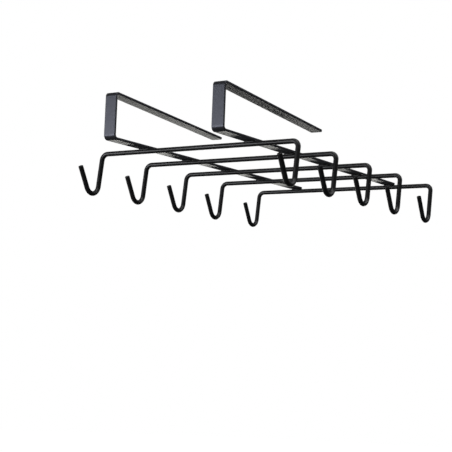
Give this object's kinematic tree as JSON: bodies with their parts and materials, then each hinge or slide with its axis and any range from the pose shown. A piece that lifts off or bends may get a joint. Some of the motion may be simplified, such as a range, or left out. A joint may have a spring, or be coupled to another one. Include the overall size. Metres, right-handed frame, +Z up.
{
  "type": "under-shelf mug rack",
  "caption": "Black steel rack that clips over a shelf board, with cross wires welded under two flat clips and bent at both ends into open mug hooks.",
  "frame": {"origin": "front corner of the shelf slot, midway between the two clips: on the inner faces of their fronts and level with the top faces of their long arms", "axes": "+X to the right along the wires, +Y into the shelf from the front, +Z up"},
  "size_m": [0.189, 0.3005, 0.0757],
  "materials": {
    "strap_coat": "satin black powder coat",
    "wire_coat": "satin black powder coat",
    "weld_coat": "satin black powder coat over weld metal"
  },
  "bodies": {
    "root": {"left_clip": "strap_coat", "right_clip": "strap_coat", "hook_wire_1": "wire_coat", "hook_wire_2": "wire_coat", "hook_wire_3": "wire_coat", "hook_wire_4": "wire_coat", "hook_wire_5": "wire_coat", "left_weld_1": "weld_coat", "left_weld_2": "weld_coat", "left_weld_3": "weld_coat", "left_weld_4": "weld_coat", "left_weld_5": "weld_coat", "right_weld_1": "weld_coat", "right_weld_2": "weld_coat", "right_weld_3": "weld_coat", "right_weld_4": "weld_coat", "right_weld_5": "weld_coat"}
  },
  "joints": []
}
